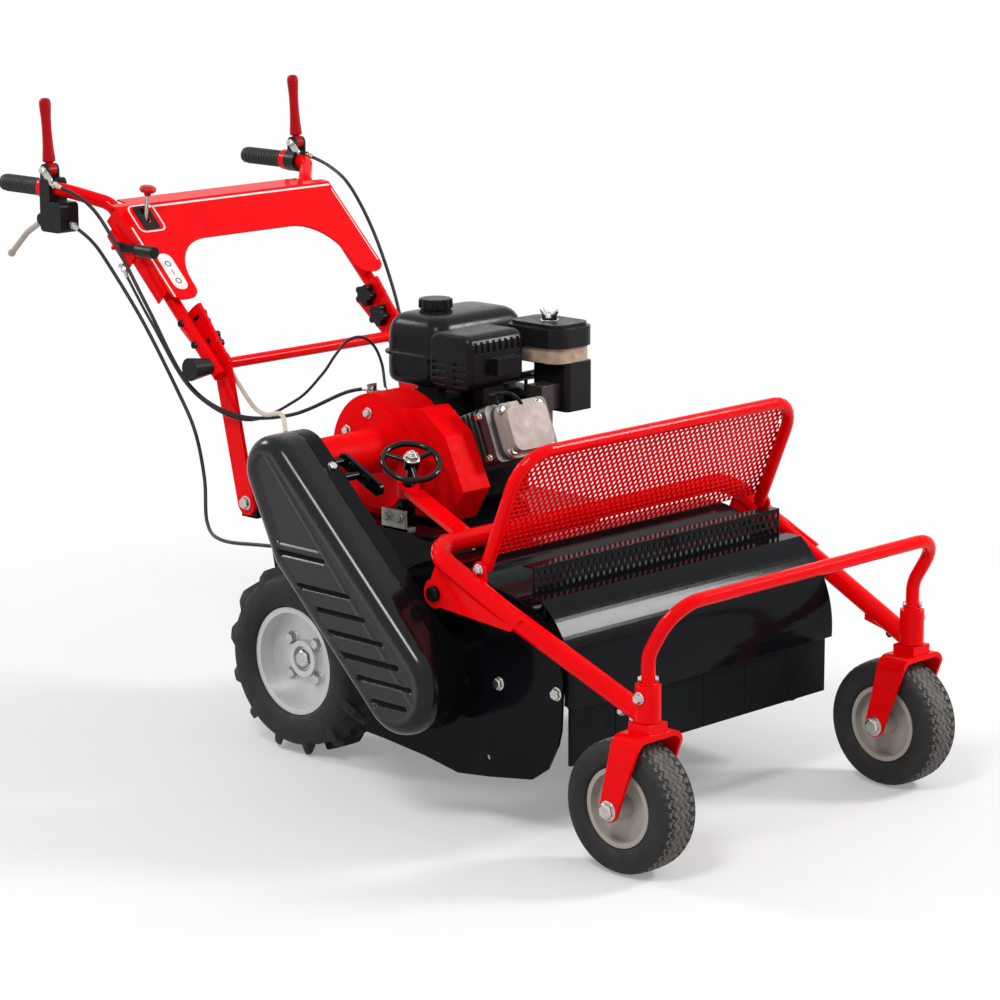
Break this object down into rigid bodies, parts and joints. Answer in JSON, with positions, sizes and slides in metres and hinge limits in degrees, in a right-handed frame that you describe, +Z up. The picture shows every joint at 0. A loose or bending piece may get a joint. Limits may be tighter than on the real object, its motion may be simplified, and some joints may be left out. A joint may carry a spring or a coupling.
{
  "type": "walk-behind flail mower",
  "caption": "Walk-behind flail mower with a curved deck hood and hanging flaps, driven rear wheels, swivelling casters on a tube frame, side belt drive, engine and a tilting handle.",
  "frame": {"origin": "middle of the bottom of the bounding box, on the ground", "axes": "+X forward along the way it drives, +Y to the operator's left, +Z up"},
  "size_m": [1.735, 0.872, 1.1327],
  "materials": {
    "red_paint": "gloss",
    "dark_red": "satin",
    "black_paint": "gloss",
    "guard_plastic": "satin",
    "tyre": "matte",
    "rim_paint": "satin",
    "caster_rim": "satin",
    "flap_rubber": "matte",
    "grip_rubber": "matte",
    "zinc": "zinc plated",
    "cast_metal": "as cast",
    "engine_black": "satin",
    "black_plastic": "matte",
    "tank_black": "satin",
    "orange_plastic": "gloss",
    "rotor_steel": "satin",
    "steel": "bare",
    "iron": "as cast",
    "belt_rubber": "matte",
    "cable_sheath": "matte"
  },
  "bodies": {
    "machine": {"chassis_frame": "black_paint", "deck_body": "black_paint", "deck_side_plates": "black_paint", "front_hood": "black_paint", "screen_plate": "black_paint", "rotor_bearings": "iron", "belt_guard_cover": "guard_plastic", "belt_guard_back": "black_paint", "drive_belt": "belt_rubber", "clutch_housing": "red_paint", "transmission_case": "cast_metal", "lower_handle": "red_paint", "engine_block": "engine_black", "cylinder_head": "cast_metal", "valve_cover": "cast_metal", "muffler": "engine_black", "air_cleaner": "black_plastic", "carburettor": "cast_metal", "fuel_tank": "tank_black", "recoil_starter": "engine_black", "oil_dipstick": "orange_plastic", "machine_bolts": "zinc", "control_cables": "cable_sheath"},
    "handle": {"handle_tubes": "red_paint", "control_panel": "red_paint", "hand_grips": "grip_rubber", "lever_brackets": "black_plastic", "handle_knobs": "black_plastic"},
    "front": {"front_frame": "red_paint", "bumper_bar": "red_paint", "grass_guard_frame": "red_paint", "grass_guard_mesh": "red_paint"},
    "rotor": {"rotor": "rotor_steel", "rotor_pulley": "iron"},
    "lever_right": {"lever_right": "dark_red"},
    "lever_left": {"lever_left": "dark_red"},
    "brake_lever": {"brake_lever": "cast_metal"},
    "shift_lever": {"shift_lever": "dark_red"},
    "throttle_lever": {"throttle_lever": "black_plastic"},
    "fuel_cap": {"fuel_cap": "black_plastic"},
    "handwheel": {"handwheel": "black_plastic"},
    "drive_pulley": {"drive_pulley": "iron"},
    "flail_row_1": {"flail_row_1": "steel"},
    "flail_row_2": {"flail_row_2": "steel"},
    "flap_1": {"flap_1": "flap_rubber"},
    "flap_2": {"flap_2": "flap_rubber"},
    "flap_3": {"flap_3": "flap_rubber"},
    "flap_4": {"flap_4": "flap_rubber"},
    "flap_5": {"flap_5": "flap_rubber"},
    "flap_6": {"flap_6": "flap_rubber"},
    "caster_right": {"caster_fork_right": "red_paint"},
    "caster_wheel_right": {"caster_tyre_right": "tyre", "caster_rim_right": "caster_rim"},
    "rear_wheel_right": {"rear_tyre_right": "tyre", "rear_rim_right": "rim_paint"},
    "caster_left": {"caster_fork_left": "red_paint"},
    "caster_wheel_left": {"caster_tyre_left": "tyre", "caster_rim_left": "caster_rim"},
    "rear_wheel_left": {"rear_tyre_left": "tyre", "rear_rim_left": "rim_paint"}
  },
  "joints": [
    {"name": "handle_tilt", "type": "hinge", "parent": "machine", "child": "handle", "pos_m": [-0.3525, 0.037, 0.672], "axis": [0, 1, 0], "range_deg": [-10, 10], "deforming": ["control_cables"]},
    {"name": "right_lever_pull", "type": "hinge", "parent": "handle", "child": "lever_right", "pos_m": [-0.7225, -0.269, 1.001], "axis": [0, -1, 0], "range_deg": [0, 62], "stiffness_Nm_per_rad": 0.6, "springref_deg": -20.05},
    {"name": "left_lever_pull", "type": "hinge", "parent": "handle", "child": "lever_left", "pos_m": [-0.7225, 0.343, 1.001], "axis": [0, -1, 0], "range_deg": [0, 62], "stiffness_Nm_per_rad": 0.6, "springref_deg": -20.05},
    {"name": "brake_pull", "type": "hinge", "parent": "handle", "child": "brake_lever", "pos_m": [-0.7465, -0.263, 0.908], "axis": [0, 1, 0], "range_deg": [0, 20], "stiffness_Nm_per_rad": 0.8, "springref_deg": -22.92},
    {"name": "shift", "type": "hinge", "parent": "handle", "child": "shift_lever", "pos_m": [-0.57154, -0.173, 0.88854], "axis": [0, 1, 0], "range_deg": [-12, 12]},
    {"name": "throttle", "type": "hinge", "parent": "handle", "child": "throttle_lever", "pos_m": [-0.56918, -0.231, 0.86948], "axis": [0, 1, 0], "range_deg": [-18, 18]},
    {"name": "cap_turn", "type": "hinge", "parent": "machine", "child": "fuel_cap", "pos_m": [-0.0485, 0.061, 0.788], "axis": [0, 0, 1], "range_deg": [-90, 0]},
    {"name": "cut_height", "type": "hinge", "parent": "machine", "child": "front", "pos_m": [0.3535, 0.037, 0.395], "axis": [0, 1, 0], "range_deg": [-3, 3]},
    {"name": "handwheel_turn", "type": "hinge", "parent": "machine", "child": "handwheel", "pos_m": [0.1685, -0.213, 0.571], "axis": [0.4156, -0.2497, 0.8746], "range_deg": [-541, 541]},
    {"name": "caster_swivel_right", "type": "hinge", "parent": "front", "child": "caster_right", "pos_m": [0.7915, -0.3, 0.24], "axis": [0, 0, 1], "continuous": true},
    {"name": "caster_roll_right", "type": "hinge", "parent": "caster_right", "child": "caster_wheel_right", "pos_m": [0.7565, -0.3, 0.111], "axis": [0, 1, 0], "continuous": true},
    {"name": "drive_roll_right", "type": "hinge", "parent": "machine", "child": "rear_wheel_right", "pos_m": [-0.1225, -0.183, 0.17], "axis": [0, 1, 0], "continuous": true},
    {"name": "caster_swivel_left", "type": "hinge", "parent": "front", "child": "caster_left", "pos_m": [0.7915, 0.374, 0.24], "axis": [0, 0, 1], "continuous": true},
    {"name": "caster_roll_left", "type": "hinge", "parent": "caster_left", "child": "caster_wheel_left", "pos_m": [0.7565, 0.374, 0.111], "axis": [0, 1, 0], "continuous": true},
    {"name": "drive_roll_left", "type": "hinge", "parent": "machine", "child": "rear_wheel_left", "pos_m": [-0.1225, 0.257, 0.17], "axis": [0, 1, 0], "continuous": true},
    {"name": "rotor_spin", "type": "hinge", "parent": "machine", "child": "rotor", "pos_m": [0.3435, 0.037, 0.25], "axis": [0, 1, 0], "continuous": true},
    {"name": "pulley_spin", "type": "hinge", "parent": "machine", "child": "drive_pulley", "pos_m": [0.0405, -0.379, 0.568], "axis": [0, 1, 0], "continuous": true},
    {"name": "flail_swing_1", "type": "hinge", "parent": "rotor", "child": "flail_row_1", "pos_m": [0.3435, 0.037, 0.168], "axis": [0, 1, 0], "range_deg": [-60, 60]},
    {"name": "flail_swing_2", "type": "hinge", "parent": "rotor", "child": "flail_row_2", "pos_m": [0.3435, 0.037, 0.332], "axis": [0, 1, 0], "range_deg": [-60, 60]},
    {"name": "flap_swing_1", "type": "hinge", "parent": "machine", "child": "flap_1", "pos_m": [0.60907, -0.23383, 0.24258], "axis": [0, 1, 0], "range_deg": [0, 55]},
    {"name": "flap_swing_2", "type": "hinge", "parent": "machine", "child": "flap_2", "pos_m": [0.60907, -0.1255, 0.24258], "axis": [0, 1, 0], "range_deg": [0, 55]},
    {"name": "flap_swing_3", "type": "hinge", "parent": "machine", "child": "flap_3", "pos_m": [0.60907, -0.01717, 0.24258], "axis": [0, 1, 0], "range_deg": [0, 55]},
    {"name": "flap_swing_4", "type": "hinge", "parent": "machine", "child": "flap_4", "pos_m": [0.60907, 0.09117, 0.24258], "axis": [0, 1, 0], "range_deg": [0, 55]},
    {"name": "flap_swing_5", "type": "hinge", "parent": "machine", "child": "flap_5", "pos_m": [0.60907, 0.1995, 0.24258], "axis": [0, 1, 0], "range_deg": [0, 55]},
    {"name": "flap_swing_6", "type": "hinge", "parent": "machine", "child": "flap_6", "pos_m": [0.60907, 0.30783, 0.24258], "axis": [0, 1, 0], "range_deg": [0, 55]}
  ],
  "couplings": [
    {"joint": "pulley_spin", "follows": "rotor_spin", "ratio": 1.5556},
    {"joint": "handwheel_turn", "follows": "cut_height", "ratio": 180}
  ]
}
